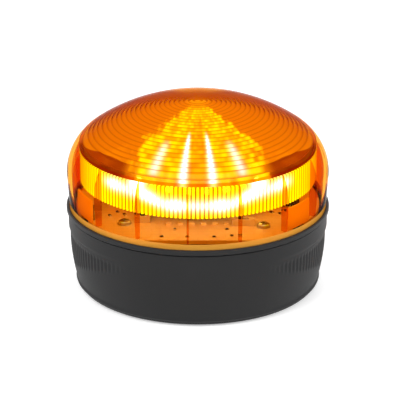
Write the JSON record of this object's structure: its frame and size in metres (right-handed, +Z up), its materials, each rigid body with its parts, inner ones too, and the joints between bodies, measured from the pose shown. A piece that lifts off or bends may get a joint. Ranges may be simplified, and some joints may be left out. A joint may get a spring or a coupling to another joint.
{
  "type": "signal beacon",
  "caption": "Low round amber LED beacon: domed prism lens and light engine on a head that twists off a deep black base with finger grips.",
  "frame": {"origin": "centre of the underside, on the plane that the base's gasket rests on", "axes": "+Z up along the lens axis; the board's straight edge and the status lamps face -Y; the finger grips are centred on +X and -X"},
  "size_m": [0.1, 0.1, 0.0737],
  "materials": {
    "base_black": "satin moulded black, fine grain",
    "seal_rubber": "matt",
    "head_black": "satin moulded black",
    "amber_lens": "clear amber, polished",
    "amber_ring": "clear amber, fluted",
    "board_white": "pale solder mask",
    "lamp_case": "clear cast",
    "chip_black": "matt moulded",
    "button_grey": "matt moulded",
    "button_black": "satin",
    "capacitor_metal": "brushed can",
    "screw_steel": "plated",
    "carrier_white": "satin white",
    "led_board_white": "white solder mask",
    "led_case": "white case with clear window",
    "tray_black": "matt moulded",
    "cell_metal": "wrapped metal can",
    "contact_nickel": "nickel plated",
    "pin_brass": "bright"
  },
  "bodies": {
    "base": {"base_housing": "base_black", "mounting_gasket": "seal_rubber"},
    "head": {"battery_cell_1": "cell_metal", "battery_cell_2": "cell_metal", "battery_cell_3": "cell_metal", "battery_cell_4": "cell_metal", "battery_tray": "tray_black", "board_capacitors": "capacitor_metal", "board_screws": "screw_steel", "button_contacts": "contact_nickel", "cap_screws": "screw_steel", "carrier_cap": "carrier_white", "carrier_screws": "screw_steel", "control_chips": "chip_black", "deck_board": "board_white", "driver_coils": "chip_black", "head_chassis": "head_black", "head_seal": "seal_rubber", "led_board_01": "led_board_white", "led_board_02": "led_board_white", "led_board_03": "led_board_white", "led_board_04": "led_board_white", "led_board_05": "led_board_white", "led_board_06": "led_board_white", "led_board_07": "led_board_white", "led_board_08": "led_board_white", "led_board_09": "led_board_white", "led_board_10": "led_board_white", "led_board_11": "led_board_white", "led_board_12": "led_board_white", "led_carrier": "carrier_white", "led_pair_01": "led_case", "led_pair_02": "led_case", "led_pair_03": "led_case", "led_pair_04": "led_case", "led_pair_05": "led_case", "led_pair_06": "led_case", "led_pair_07": "led_case", "led_pair_08": "led_case", "led_pair_09": "led_case", "led_pair_10": "led_case", "led_pair_11": "led_case", "led_pair_12": "led_case", "lens_dome": "amber_lens", "lens_seal": "seal_rubber", "mode_button_body": "button_grey", "power_pins": "pin_brass", "power_switch_body": "button_grey", "prism_ring": "amber_ring", "service_header": "chip_black", "spring_contacts": "contact_nickel", "status_lamps": "lamp_case", "tray_screws": "screw_steel"},
    "mode_button": {"mode_button_cap": "button_black"},
    "power_switch": {"power_switch_knob": "button_black"}
  },
  "joints": [
    {"name": "head_twist", "type": "hinge", "parent": "base", "child": "head", "pos_m": [0, 0, 0.0296], "axis": [0, 0, 1], "range_deg": [0, 20]},
    {"name": "mode_button_press", "type": "slide", "parent": "head", "child": "mode_button", "axis": [0, 0, -1], "range_m": [0, 0.0008], "stiffness_N_per_m": 1500},
    {"name": "power_switch_slide", "type": "slide", "parent": "head", "child": "power_switch", "axis": [1, 0, 0], "range_m": [0, 0.002]}
  ]
}
